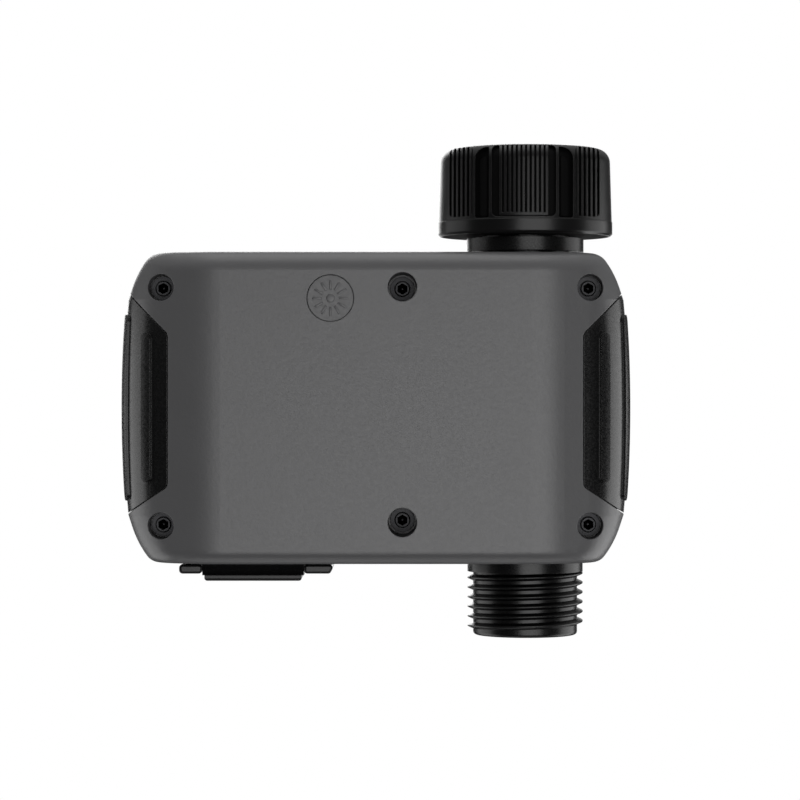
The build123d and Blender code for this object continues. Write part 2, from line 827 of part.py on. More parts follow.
def make_plunger_spring():
    """Coil spring between the fixed pole and the pocket in the plunger."""
    tip_x = plunger_back_x + spring_pocket_depth - diaphragm_lift - spring_wire
    length = tip_x - pole_front_x
    turns = 4
    path = Helix(pitch=(length - spring_wire) / turns, height=length - spring_wire, radius=spring_radius)
    path = Pos(pole_front_x + spring_wire / 2, 0, valve_z) * Rot(0, 90, 0) * path
    section = Plane(origin=path @ 0, z_dir=path % 0) * Circle(spring_wire / 2)
    return sweep(section, path=path, is_frenet=True)


# ---- batteries, drawer and bay --------------------------------------------------------------------
def cell_places():
    offset = cell_radius + cell_gap / 2
    return [(drawer_x + x * offset, y * offset) for x in (-1, 1) for y in (-1, 1)]


def make_cell(x, y):
    can = rod_z(cell_radius, cell_bottom, cell_bottom + cell_length, x, y)
    can = fillet(can.edges().filter_by(GeomType.CIRCLE), cell_edge_radius)
    return can + rod_z(cell_nub_radius, cell_bottom + cell_length, cell_top, x, y)


def make_drawer():
    """Open-sided carrier: floor, head, end walls and a thin web between the two rows of cells."""
    x_limits = (drawer_x - drawer_half, drawer_x + drawer_half)
    y_limits = (-drawer_half, drawer_half)
    frame = block(x_limits, y_limits, (drawer_bottom, drawer_head))
    hollow_x = (x_limits[0] + drawer_wall, x_limits[1] - drawer_wall)
    hollow_z = (drawer_bottom + drawer_floor, drawer_head - drawer_top)
    frame -= block(hollow_x, (cell_gap / 2, big), hollow_z)
    frame -= block(hollow_x, (-big, -cell_gap / 2), hollow_z)
    return frame


def make_door_seal():
    return door_seal_ring(bay_inner_half - drawer_clearance)


def door_seal_low():
    return door_top + (door_plug_height - door_seal_section) / 2


def door_seal_ring(outer):
    """The seal's square ring, or its groove when a larger outer half width is given."""
    low = door_seal_low()
    high = low + door_seal_section
    inner = bay_inner_half - drawer_clearance - door_seal_section
    ring = square_tube_form(outer, low, high, bay_wall, drawer_x)
    return ring - square_tube_form(inner, low, high, bay_wall / 2, drawer_x)


def door_wing(limits, slant):
    """Finger wing at one end of the door, rounded on every outer edge."""
    low = door_top - wing_height
    outline = Polygon((limits[0], door_top), (limits[1] + slant, door_top),
                      (limits[1], low), (limits[0], low),
                      align=None)
    outline = fillet(outline.vertices(), wing_corner_radius)
    wing = extrude(Plane.XZ * outline, door_depth / 2, both=True)
    ends = wing.faces().sort_by(Axis.Y)
    return fillet(ends[0].edges() + ends[-1].edges(), wing_face_radius)


def door_lip():
    """Deeper middle of the door, whose faces lean in above a proud bead for the finger tips."""
    half_depth = door_depth / 2
    step_z = door_top - lip_step
    profile = Polyline((-half_depth, door_top), (lip_lean - half_depth, step_z),
                       (half_depth - lip_lean, step_z), (half_depth, door_top), close=True)
    end = Plane(origin=(lip_x[0], 0, 0), x_dir=(0, 1, 0), z_dir=(1, 0, 0))
    middle = extrude(end * make_face(profile), lip_x[1] - lip_x[0])
    bead_x = (lip_x[0] + lip_inset, lip_x[1] - lip_inset)
    bead = block(bead_x, (lip_inset - half_depth, half_depth - lip_inset), (door_top - lip_height, step_z))
    return middle + fillet(bead.faces().sort_by(Axis.Z)[0].edges(), lip_edge_radius)


def make_door():
    half_depth = door_depth / 2 - wing_corner_radius
    plate = block((left_wing_x[0] + wing_corner_radius, right_wing_x[1] - wing_corner_radius),
                  (-half_depth, half_depth), (door_top - door_plate_thickness, door_top))
    door = plate + door_lip() + door_wing(left_wing_x, 0) + door_wing(right_wing_x, wing_slant)
    door += square_tube_form(drawer_half - drawer_wall, door_top, drawer_bottom, bay_wall, drawer_x)
    return door - door_seal_ring(drawer_half)


def make_bay():
    sleeve = square_tube_form(bay_half, housing_bottom, bay_roof + bay_wall, bay_wall, drawer_x)
    sleeve -= square_tube_form(bay_inner_half, housing_bottom, bay_roof, bay_wall / 2, drawer_x)
    return sleeve - make_bay_contacts()


def make_bay_contacts():
    contacts = Part()
    for y in (-cell_radius, cell_radius):
        contacts += rod_z(bay_contact_radius, bay_roof - bay_contact_reach, bay_roof + 2 * bay_wall,
                          drawer_x, y)
    return contacts


def contact_spring(x, y):
    """Conical contact spring, drawn as its closed cone."""
    low = drawer_bottom + drawer_floor
    cone = Pos(x, y, low + contact_spring_length / 2) * Cone(
        contact_spring_radius, contact_spring_radius / 2, contact_spring_length)
    return cone


def contact_plate(x, y):
    low = cell_top
    size = contact_plate_size / 2
    return block((x - size, x + size), (y - size / 2, y + size / 2), (low, low + contact_plate_thickness))


# ---- electronics and button -----------------------------------------------------------------------
def make_board():
    board = block(board_x, (board_y, board_front_y), board_z)
    for x in (board_x[0] + board_post_margin, board_x[1] - board_post_margin):
        for z in (board_z[0] + board_post_margin, board_z[1] - board_post_margin):
            board -= rod_y(board_pin_radius, board_y, board_front_y, x, z)
    return board


def on_board(place, size):
    """A box-shaped component standing on the board's front face."""
    width, height, thickness = size
    middle = Pos(place[0], board_front_y + thickness / 2, place[1])
    return middle * Box(width, thickness, height)


def make_push_switch():
    switch = on_board((button_x, button_z), (switch_size, switch_size, switch_height))
    top = board_front_y + switch_height
    hole = rod_y(switch_plunger_radius + switch_hole_gap, top - switch_hole_depth, top, button_x, button_z)
    return switch - hole


def make_switch_plunger():
    return rod_y(switch_plunger_radius, stem_end_y - switch_plunger_length, stem_end_y, button_x, button_z)


def make_button():
    top = housing_half_depth + button_proud
    cap = rod_y(button_radius, button_flange_y, top, button_x, button_z)
    cap = fillet(cap.faces().sort_by(Axis.Y)[-1].edges(), button_edge_radius)
    cap += rod_y(button_flange_radius, button_flange_y - button_flange_thickness, button_flange_y,
                 button_x, button_z)
    return cap + rod_y(switch_plunger_radius, stem_end_y, button_flange_y, button_x, button_z)


def make_button_seal():
    low = inner_face_y - button_seal_thickness
    ring = rod_y(button_seal_radius, low, inner_face_y, button_x, button_z)
    return ring - rod_y(button_flange_radius + button_gap, low, inner_face_y, button_x, button_z)


def make_light_pipe():
    return rod_y(light_pipe_radius, board_front_y + led_height, housing_half_depth, button_x, light_pipe_z)


# ---- write every piece ----------------------------------------------------------------------------
def write_housing():
    outer = rounded_housing_form()
    shell = housing_shell(outer, housing_form(wall))
    groove = gasket_ring(gasket_gap)
    save(make_rear_cover(shell, outer, groove), "rear_cover")
    save(make_front_cover(shell, outer, groove), "front_cover")
    save(gasket_ring(0), "housing_gasket")
    floor = housing_form(grip_thickness - grip_seat_gap)
    proud = housing_middle(-grip_bar_height)
    save(make_grip(-1, outer, floor, proud), "left_grip")
    save(make_grip(1, outer, floor, proud), "right_grip")
    corners, middles = screw_places()
    save(Part() + [housing_screw(x, z, depth) for x, z, radius, depth in corners], "corner_screws")
    save(Part() + [housing_screw(x, z, depth) for x, z, radius, depth in middles], "middle_screws")
    save(make_medallion(), "rear_medallion")


def write_inlet():
    save(make_inlet_nut(), "inlet_nut")
    save(make_washer(), "inlet_washer")
    save(make_strainer(), "strainer")
    save(make_retaining_ring(), "nut_retaining_ring")
    save(make_seal(housing_top - wall), "neck_seal")
    save(make_seal(housing_bottom + wall - 2 * seal_radius), "outlet_seal")


def write_valve():
    save(make_valve_body(), "valve_body")
    save(make_diaphragm(), "diaphragm")
    save(make_bonnet(), "bonnet")
    save(Part() + [bonnet_screw(y, z) for y, z in bonnet_screw_places()], "bonnet_screws")
    save(make_plunger_tube(), "plunger_tube")
    save(make_fixed_pole(), "fixed_pole")
    save(make_bobbin(), "solenoid_bobbin")
    save(make_winding(), "coil_winding")
    save(make_yoke(), "solenoid_yoke")
    save(make_magnet(), "latch_magnet")
    save(make_plunger(), "plunger")
    save(make_plunger_seal(), "plunger_seal")
    save(make_plunger_spring(), "plunger_spring")


def write_batteries():
    save(make_bay(), "battery_bay")
    save(make_bay_contacts(), "bay_contacts")
    save(make_drawer(), "battery_drawer")
    save(make_door(), "battery_door")
    save(make_door_seal(), "door_seal")
    for number, (x, y) in enumerate(cell_places(), start=1):
        save(make_cell(x, y), f"battery_{number}")
    save(Part() + [contact_spring(x, y) for x, y in cell_places()], "battery_springs")
    save(Part() + [contact_plate(x, y) for x, y in cell_places()], "battery_contacts")


def write_electronics():
    save(make_board(), "main_board")
    save(on_board(radio_place, radio_size), "radio_module")
    save(on_board(chip_place, chip_size), "controller_chip")
    save(on_board(connector_place, connector_size), "coil_connector")
    save(Part() + [on_board(place, capacitor_size) for place in capacitor_places], "capacitors")
    save(on_board((button_x, light_pipe_z), led_size), "status_led")
    save(make_push_switch(), "push_switch")
    save(make_switch_plunger(), "switch_plunger")
    save(make_button(), "front_button")
    save(make_button_seal(), "button_seal")
    save(make_light_pipe(), "light_pipe")


os.makedirs("parts", exist_ok=True)
write_housing()
write_inlet()
write_valve()
write_batteries()
write_electronics()
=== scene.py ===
"""Dresses the drip irrigation timer: its hose threads, small fittings, every finish, and the studio."""
import logging
import math
from dataclasses import dataclass, field
from enum import Enum
from typing import Callable, Sequence

import bpy
from mathutils import Matrix, Vector


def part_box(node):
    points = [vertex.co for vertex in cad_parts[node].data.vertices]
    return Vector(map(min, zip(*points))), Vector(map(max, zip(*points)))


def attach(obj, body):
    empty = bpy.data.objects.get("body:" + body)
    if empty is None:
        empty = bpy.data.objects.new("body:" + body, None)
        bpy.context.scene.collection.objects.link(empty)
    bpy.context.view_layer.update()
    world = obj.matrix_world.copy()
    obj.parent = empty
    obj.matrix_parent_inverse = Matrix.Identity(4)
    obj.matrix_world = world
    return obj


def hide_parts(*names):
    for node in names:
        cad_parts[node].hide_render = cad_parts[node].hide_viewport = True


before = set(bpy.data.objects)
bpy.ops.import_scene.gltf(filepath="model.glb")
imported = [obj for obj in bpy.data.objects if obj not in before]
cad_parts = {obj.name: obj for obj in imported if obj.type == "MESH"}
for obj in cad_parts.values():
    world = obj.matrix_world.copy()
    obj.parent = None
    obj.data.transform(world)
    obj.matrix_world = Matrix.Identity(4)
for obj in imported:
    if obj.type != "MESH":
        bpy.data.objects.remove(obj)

MM = 0.001
WELD_DISTANCE = 1e-7
SHARP_DEGREES = 35.0
ROUNDED_DEGREES = 50.0
QUARTER_TURN = math.radians(90)
EDGE_SAMPLES = 4
NOISE_MIDDLE = (0.3, 0.7)
CLOUD_M = 9 * MM
CLOUD_DETAIL = 4.0
FILM_WIDTH_MM = 36.0
WHITE = (1.0, 1.0, 1.0, 1.0)
LOG = logging.getLogger("drip_timer")
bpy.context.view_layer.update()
Colour = tuple[float, float, float]
Span = tuple[float, float]


class Body(Enum):
    """The bodies that new pieces ride on, by the names that the frame uses."""

    HOUSING = "housing"
    NUT = "nut"
    DRAWER = "drawer"


# ---- mesh work ------------------------------------------------------------------------------------
def deselect_all() -> None:
    """Leaves edit mode and deselects every object."""
    if bpy.context.object is not None and bpy.context.object.mode != "OBJECT":
        bpy.ops.object.mode_set(mode="OBJECT")
    bpy.ops.object.select_all(action="DESELECT")


def take_new(name: str) -> bpy.types.Object:
    """Names the primitive that was just added.

    Args:
        name: The piece's name.

    Returns:
        The new object.
    """
    piece = bpy.context.object
    piece.name = name
    piece.data.name = name
    return piece


def make_active(piece: bpy.types.Object) -> None:
    """Makes one piece the only selected and the active one.

    Args:
        piece: The object to work on.
    """
    deselect_all()
    piece.select_set(True)
    bpy.context.view_layer.objects.active = piece


def apply_place(piece: bpy.types.Object) -> None:
    """Moves a piece's location, turn and scale into its mesh.

    Args:
        piece: The object to settle.
    """
    make_active(piece)
    bpy.ops.object.transform_apply(location=True, rotation=True, scale=True)


def apply_modifiers(piece: bpy.types.Object) -> None:
    """Applies every modifier of a piece in order.

    Args:
        piece: The object whose modifiers become mesh.
    """
    make_active(piece)
    for name in [modifier.name for modifier in piece.modifiers]:
        bpy.ops.object.modifier_apply(modifier=name)


def pick_faces(piece: bpy.types.Object, test: Callable[[Vector, Vector], bool]) -> None:
    """Selects the faces that pass a test and enters edit mode.

    Args:
        piece: The object to work on.
        test: Takes a face's centre and normal and says whether it is wanted.
    """
    make_active(piece)
    bpy.ops.object.mode_set(mode="EDIT")
    bpy.ops.mesh.select_mode(type="FACE")
    bpy.ops.mesh.select_all(action="DESELECT")
    bpy.ops.object.mode_set(mode="OBJECT")
    for face in piece.data.polygons:
        face.select = test(face.center, face.normal)
    bpy.ops.object.mode_set(mode="EDIT")


def close_open_ends(piece: bpy.types.Object) -> None:
    """Fills the open ends of a swept tube and turns all its faces outwards.

    Args:
        piece: The swept object.
    """
    make_active(piece)
    bpy.ops.object.mode_set(mode="EDIT")
    bpy.ops.mesh.select_mode(type="EDGE")
    bpy.ops.mesh.select_all(action="SELECT")
    bpy.ops.mesh.remove_doubles(threshold=WELD_DISTANCE)
    bpy.ops.mesh.select_all(action="DESELECT")
    bpy.ops.mesh.select_non_manifold(extend=False)
    bpy.ops.mesh.edge_face_add()
    bpy.ops.mesh.select_all(action="SELECT")
    bpy.ops.mesh.normals_make_consistent(inside=False)
    bpy.ops.object.mode_set(mode="OBJECT")


def join_pieces(parts: Sequence[bpy.types.Object], name: str) -> bpy.types.Object:
    """Joins parts into one piece.

    Args:
        parts: The objects to join.
        name: The joined piece's name.

    Returns:
        The joined object.
    """
    make_active(parts[0])
    for part in parts:
        part.select_set(True)
    bpy.ops.object.join()
    return take_new(name)


def smooth_by_angle(piece: bpy.types.Object, degrees: float = SHARP_DEGREES) -> None:
    """Shades a piece smooth, with sharp edges past an angle.

    Args:
        piece: The object to shade.
        degrees: The angle past which an edge stays sharp.
    """
    make_active(piece)
    bpy.ops.object.shade_smooth_by_angle(angle=math.radians(degrees))


def scale_from_axis(vertex: bpy.types.MeshVertex, factor: float) -> None:
    """Moves a vertex towards the Z axis or away from it by a factor."""
    vertex.co.x *= factor
    vertex.co.y *= factor


def copy_mesh(piece: bpy.types.Object, move: Matrix, name: str) -> bpy.types.Object:
    """Copies a piece with its own mesh, placed by a matrix.

    Args:
        piece: The object to copy.
        move: Where the copy goes, from the original's place.
        name: The copy's name.

    Returns:
        The copy.
    """
    twin = piece.copy()
    twin.data = piece.data.copy()
    twin.name = name
    twin.data.transform(move)
    bpy.context.scene.collection.objects.link(twin)
    return twin


# ---- finishes -------------------------------------------------------------------------------------
def add_remap(tree: bpy.types.NodeTree, value: bpy.types.NodeSocket, source: Span, result: Span,
              kind: str = "LINEAR") -> bpy.types.NodeSocket:
    """Adds a node that maps one range onto another and holds the value at its ends.

    Args:
        tree: The nodes of a material or of the world.
        value: What is read.
        source: The range that it is read over.
        result: The value at either end of it.
        kind: How the value runs from one end to the other.

    Returns:
        The mapped value.
    """
    ranger = tree.nodes.new("ShaderNodeMapRange")
    ranger.interpolation_type = kind
    ranger.inputs["From Min"].default_value, ranger.inputs["From Max"].default_value = source
    ranger.inputs["To Min"].default_value, ranger.inputs["To Max"].default_value = result
    tree.links.new(value, ranger.inputs["Value"])
    return ranger.outputs["Result"]


class NodeSheet:
    """A new material with short calls that add and join its nodes."""

    def __init__(self, name: str) -> None:
        """Starts a material with one Principled shader.

        Args:
            name: The material's name.
        """
        self.material = bpy.data.materials.new(name)
        self.material.use_nodes = True
        self.tree = self.material.node_tree
        self.shader = self.tree.nodes["Principled BSDF"]
        self.place = self.tree.nodes.new("ShaderNodeTexCoord").outputs["Object"]

    def set(self, **sockets: object) -> None:
        """Sets constants on the shader's own sockets, with spaces written as underscores.

        Args:
            sockets: Socket names and their values.
        """
        for name, value in sockets.items():
            self.shader.inputs[name.replace("_", " ")].default_value = value

    def join(self, source: bpy.types.NodeSocket, target: bpy.types.NodeSocket) -> None:
        """Links an output to an input."""
        self.tree.links.new(source, target)

    def noise(self, size_m: float, detail: float = 3.0,
              stretch: Colour = (1.0, 1.0, 1.0)) -> bpy.types.NodeSocket:
        """Adds noise whose grain has a real size.

        Args:
            size_m: Size of one grain in metres.
            detail: Noise detail.
            stretch: How much finer the grain is along each axis.

        Returns:
            The noise's value output.
        """
        mapping = self.tree.nodes.new("ShaderNodeMapping")
        mapping.inputs["Scale"].default_value = [share / size_m for share in stretch]
        noise = self.tree.nodes.new("ShaderNodeTexNoise")
        noise.inputs["Scale"].default_value = 1.0
        noise.inputs["Detail"].default_value = detail
        self.join(self.place, mapping.inputs["Vector"])
        self.join(mapping.outputs["Vector"], noise.inputs["Vector"])
        return noise.outputs["Fac"]

    def remap(self, value: bpy.types.NodeSocket, source: Span, result: Span) -> bpy.types.NodeSocket:
        """Maps one range straight onto another and holds the value at its ends."""
        return add_remap(self.tree, value, source, result)

    def spread(self, value: bpy.types.NodeSocket, low: float, high: float) -> bpy.types.NodeSocket:
        """Maps the middle of a noise onto a range from low to high."""
        return self.remap(value, NOISE_MIDDLE, (low, high))

    def tint(self, factor: bpy.types.NodeSocket, low: Colour, high: Colour) -> None:
        """Feeds a mix of two colours into the shader's base colour.

        Args:
            factor: The mixing factor.
            low: Colour at 0.
            high: Colour at 1.
        """
        ramp = self.tree.nodes.new("ShaderNodeValToRGB")
        ramp.color_ramp.elements[0].color = (*low, 1.0)
        ramp.color_ramp.elements[1].color = (*high, 1.0)
        self.join(factor, ramp.inputs["Fac"])
        self.join(ramp.outputs["Color"], self.shader.inputs["Base Color"])

    def bump(self, height: bpy.types.NodeSocket, depth_m: float, strength: float = 1.0,
             edge_m: float = 0.0) -> None:
        """Feeds a height into the shader's normal, over edges that are slightly softened.

        Args:
            height: The height pattern.
            depth_m: Its depth in metres.
            strength: How strongly it shows.
            edge_m: Radius of the softened edges in metres.
        """
        bump = self.tree.nodes.new("ShaderNodeBump")
        bump.inputs["Strength"].default_value = strength
        bump.inputs["Distance"].default_value = depth_m
        self.join(height, bump.inputs["Height"])
        if edge_m:
            soft_edge = self.tree.nodes.new("ShaderNodeBevel")
            soft_edge.samples = EDGE_SAMPLES
            soft_edge.inputs["Radius"].default_value = edge_m
            self.join(soft_edge.outputs["Normal"], bump.inputs["Normal"])
        self.join(bump.outputs["Normal"], self.shader.inputs["Normal"])

    def bands(self, axis: int, edges: Sequence[tuple[float, Colour]], reach: Span) -> bpy.types.NodeSocket:
        """Colours bands across one object axis.

        Args:
            axis: 0, 1 or 2 for X, Y or Z.
            edges: The share of the way where each band starts, and its colour.
            reach: Where the first band starts and the last one ends, in metres.

        Returns:
            The banded colour.
        """
        split = self.tree.nodes.new("ShaderNodeSeparateXYZ")
        ramp = self.tree.nodes.new("ShaderNodeValToRGB")
        ramp.color_ramp.interpolation = "CONSTANT"
        ramp.color_ramp.elements[0].color = (*edges[0][1], 1.0)
        ramp.color_ramp.elements[1].position = edges[1][0]
        ramp.color_ramp.elements[1].color = (*edges[1][1], 1.0)
        for position, colour in edges[2:]:
            ramp.color_ramp.elements.new(position).color = (*colour, 1.0)
        self.join(self.place, split.inputs["Vector"])
        self.join(self.remap(split.outputs[axis], reach, (0.0, 1.0)), ramp.inputs["Fac"])
        return ramp.outputs["Color"]


def scaled(colour: Colour, factor: float) -> Colour:
    """Brightens or darkens a colour by a factor."""
    return tuple(min(1.0, channel * factor) for channel in colour)


@dataclass(frozen=True)
class MouldedPlastic:
    """Plastic or rubber with the fine spark-eroded grain of its mould."""

    name: str
    colour: Colour
    roughness: float = 0.45
    roughness_swing: float = 0.06
    grain_m: float = 0.35 * MM
    grain_depth_m: float = 0.02 * MM
    mottle: float = 0.06
    specular: float = 0.5
    edge_m: float = 0.15 * MM
    metallic: float = 0.0

    def build(self) -> bpy.types.Material:
        """Makes the material.

        Returns:
            The finished material.
        """
        sheet = NodeSheet(self.name)
        grain = sheet.noise(self.grain_m, detail=2.0)
        sheet.tint(sheet.noise(CLOUD_M, detail=CLOUD_DETAIL),
                   scaled(self.colour, 1 - self.mottle), scaled(self.colour, 1 + self.mottle))
        rough_low, rough_high = self.roughness - self.roughness_swing, self.roughness + self.roughness_swing
        sheet.join(sheet.spread(grain, rough_low, rough_high), sheet.shader.inputs["Roughness"])
        sheet.bump(grain, self.grain_depth_m, edge_m=self.edge_m)
        sheet.set(Specular_IOR_Level=self.specular, Metallic=self.metallic)
        return sheet.material


@dataclass(frozen=True)
class DrawnMetal:
    """Metal with fine lines along the way that it was drawn, rolled or turned."""

    name: str
    colour: Colour
    roughness: float = 0.3
    line_m: float = 0.12 * MM
    lines_along: int = 2
    line_depth_m: float = 0.004 * MM
    line_stretch: float = 0.03
    stain_m: float = 6 * MM
    stain_shades: Span = (0.88, 1.08)
    roughness_shares: Span = (0.7, 1.35)

    def build(self) -> bpy.types.Material:
        """Makes the material.

        Returns:
            The finished material.
        """
        sheet = NodeSheet(self.name)
        stretch = tuple(self.line_stretch if axis == self.lines_along else 1.0 for axis in range(3))
        lines = sheet.noise(self.line_m, detail=2.0, stretch=stretch)
        sheet.tint(sheet.noise(self.stain_m), *(scaled(self.colour, shade) for shade in self.stain_shades))
        low, high = (self.roughness * share for share in self.roughness_shares)
        sheet.join(sheet.spread(lines, low, high), sheet.shader.inputs["Roughness"])
        sheet.bump(lines, self.line_depth_m)
        sheet.set(Metallic=1.0)
        return sheet.material


@dataclass(frozen=True)
class WoundWire:
    """Layers of enamelled wire wound round the coil, with painted shade darkening the gaps between the
    wires.
    """

    name: str
    colour: Colour
    wire_m: float = 0.3 * MM
    wave_scale: float = 0.314
    waver: float = 0.4
    gap_painted_shade: float = 0.35
    metallic: float = 0.7
    roughness: float = 0.32

    def build(self) -> bpy.types.Material:
        """Makes the material.

        Returns:
            The finished material.
        """
        sheet = NodeSheet(self.name)
        wave = sheet.tree.nodes.new("ShaderNodeTexWave")
        wave.bands_direction = "X"
        wave.inputs["Scale"].default_value = self.wave_scale / self.wire_m
        wave.inputs["Distortion"].default_value = self.waver
        sheet.join(sheet.place, wave.inputs["Vector"])
        # Painted shade: the colour falls to a darker copy of the wire's colour in the valleys between
        # windings.
        sheet.tint(wave.outputs["Fac"], scaled(self.colour, self.gap_painted_shade), self.colour)
        sheet.bump(wave.outputs["Fac"], self.wire_m / 2)
        sheet.set(Metallic=self.metallic, Roughness=self.roughness)
        return sheet.material


@dataclass(frozen=True)
class PolishedLands:
    """Black nut plastic: polished on the ribs and frames, spark-eroded rough in the pockets between them,
    with the pockets' reflection weakened as painted shade.
    """

    name: str
    colour: Colour
    land_roughness: float = 0.28
    pocket_roughness: float = 0.75
    land_specular: float = 0.5
    pocket_shade_specular: float = 0.15
    crown_centre_radius: float = 16.3 * MM
    crown_radius: float = 3.2 * MM
    pocket_from: float = 2.6 * MM
    land_from: float = 3.1 * MM
    mottle: float = 0.06
    grain_m: float = 0.25 * MM
    grain_depth_m: float = 0.008 * MM
    edge_m: float = 0.28 * MM

    def build(self) -> bpy.types.Material:
        """Makes the material.

        Returns:
            The finished material.
        """
        sheet = NodeSheet(self.name)
        sheet.tint(sheet.noise(CLOUD_M, detail=CLOUD_DETAIL),
                   scaled(self.colour, 1 - self.mottle), scaled(self.colour, 1 + self.mottle))
        reach = self.reach(sheet)
        # Pockets get a rougher grain and a weaker reflection; the weaker reflection is painted shade in the
        # recesses.
        for socket, levels in (("Roughness", (self.pocket_roughness, self.land_roughness)),
                               ("Specular IOR Level", (self.pocket_shade_specular, self.land_specular))):
            level = sheet.remap(reach, (self.pocket_from, self.land_from), levels)
            sheet.join(level, sheet.shader.inputs[socket])
        sheet.bump(sheet.noise(self.grain_m, detail=2.0), self.grain_depth_m, edge_m=self.edge_m)
        return sheet.material

    def reach(self, sheet: NodeSheet) -> bpy.types.NodeSocket:
        """Measures how far a point lies outside the ring that the crown's rounding turns about.

        Args:
            sheet: The material's nodes.

        Returns:
            The distance in metres.
        """
        flat, radius, reach = (sheet.tree.nodes.new("ShaderNodeVectorMath") for _ in range(3))
        flat.operation, radius.operation, reach.operation = "MULTIPLY", "LENGTH", "LENGTH"
        flat.inputs[1].default_value = (1.0, 1.0, 0.0)
        split = sheet.tree.nodes.new("ShaderNodeSeparateXYZ")
        pair = sheet.tree.nodes.new("ShaderNodeCombineXYZ")
        sheet.join(sheet.place, flat.inputs[0])
        sheet.join(flat.outputs["Vector"], radius.inputs[0])
        sheet.join(sheet.place, split.inputs["Vector"])
        for value, offset, axis in ((radius.outputs["Value"], -self.crown_centre_radius, "X"),
                                    (split.outputs["Z"], self.crown_radius, "Y")):
            shift, hold = (sheet.tree.nodes.new("ShaderNodeMath") for _ in range(2))
            shift.operation, hold.operation = "ADD", "MAXIMUM"
            shift.inputs[1].default_value, hold.inputs[1].default_value = offset, 0.0
            sheet.join(value, shift.inputs[0])
            sheet.join(shift.outputs["Value"], hold.inputs[0])
            sheet.join(hold.outputs["Value"], pair.inputs[axis])
        sheet.join(pair.outputs["Vector"], reach.inputs[0])
        return reach.outputs["Value"]


@dataclass(frozen=True)
class CellJacket:
    """Plain battery jacket: a dark sleeve with one coloured end band."""

    name: str
    sleeve: Colour
    band: Colour
    reach: Span
    steel: Colour = (0.62, 0.62, 0.64)
    sleeve_from: float = 0.015
    band_from: float = 0.74
    cap_from: float = 0.965
    scuff_m: float = 1.6 * MM
    scuff_depth_m: float = 0.01 * MM
    scuff_strength: float = 0.4
    roughness: Span = (0.2, 0.36)
    metallic: float = 0.55

    def build(self) -> bpy.types.Material:
        """Makes the material.

        Returns:
            The finished material.
        """
        sheet = NodeSheet(self.name)
        edges = ((0.0, self.steel), (self.sleeve_from, self.sleeve), (self.band_from, self.band),
                 (self.cap_from, self.steel))
        sheet.join(sheet.bands(2, edges, self.reach), sheet.shader.inputs["Base Color"])
        scuff = sheet.noise(self.scuff_m, detail=5.0)
        sheet.join(sheet.spread(scuff, *self.roughness), sheet.shader.inputs["Roughness"])
        sheet.bump(scuff, self.scuff_depth_m, self.scuff_strength)
        sheet.set(Metallic=self.metallic)
        return sheet.material


@dataclass(frozen=True)
class BoardLaminate:
    """Green solder mask over straight copper tracks."""

    name: str
    mask: Colour = (0.012, 0.12, 0.045)
    track: Colour = (0.03, 0.22, 0.08)
    other_shade: float = 1.2
    fields_per_m: float = 160.0
    track_width: float = 0.05
    track_depth_m: float = 0.03 * MM
    track_strength: float = 0.6
    roughness: float = 0.3

    def build(self) -> bpy.types.Material:
        """Makes the material.

        Returns:
            The finished material.
        """
        sheet = NodeSheet(self.name)
        bricks = sheet.tree.nodes.new("ShaderNodeTexBrick")
        turn = sheet.tree.nodes.new("ShaderNodeMapping")
        turn.inputs["Rotation"].default_value = (QUARTER_TURN, 0.0, 0.0)
        sheet.join(sheet.place, turn.inputs["Vector"])
        sheet.join(turn.outputs["Vector"], bricks.inputs["Vector"])
        bricks.inputs["Scale"].default_value = self.fields_per_m
        bricks.inputs["Mortar Size"].default_value = self.track_width
        bricks.inputs["Color1"].default_value = (*self.mask, 1.0)
        bricks.inputs["Color2"].default_value = (*scaled(self.mask, self.other_shade), 1.0)
        bricks.inputs["Mortar"].default_value = (*self.track, 1.0)
        sheet.join(bricks.outputs["Color"], sheet.shader.inputs["Base Color"])
        sheet.bump(bricks.outputs["Fac"], self.track_depth_m, self.track_strength)
        sheet.set(Roughness=self.roughness)
        return sheet.material


@dataclass(frozen=True)
class ClearPlastic:
    """Slightly milky clear plastic for the light pipe."""

    name: str
    colour: Colour = (0.85, 0.9, 0.94)
    haze_m: float = 1.2 * MM
    haze_shade: float = 0.92
    roughness: Span = (0.12, 0.22)
    transmission: float = 0.75
    index: float = 1.49

    def build(self) -> bpy.types.Material:
        """Makes the material.

        Returns:
            The finished material.
        """
        sheet = NodeSheet(self.name)
        haze = sheet.noise(self.haze_m)
        sheet.tint(haze, scaled(self.colour, self.haze_shade), self.colour)
        sheet.join(sheet.spread(haze, *self.roughness), sheet.shader.inputs["Roughness"])
        sheet.set(Transmission_Weight=self.transmission, IOR=self.index)
        return sheet.material


Finish = MouldedPlastic | PolishedLands | DrawnMetal | WoundWire | CellJacket | BoardLaminate | ClearPlastic


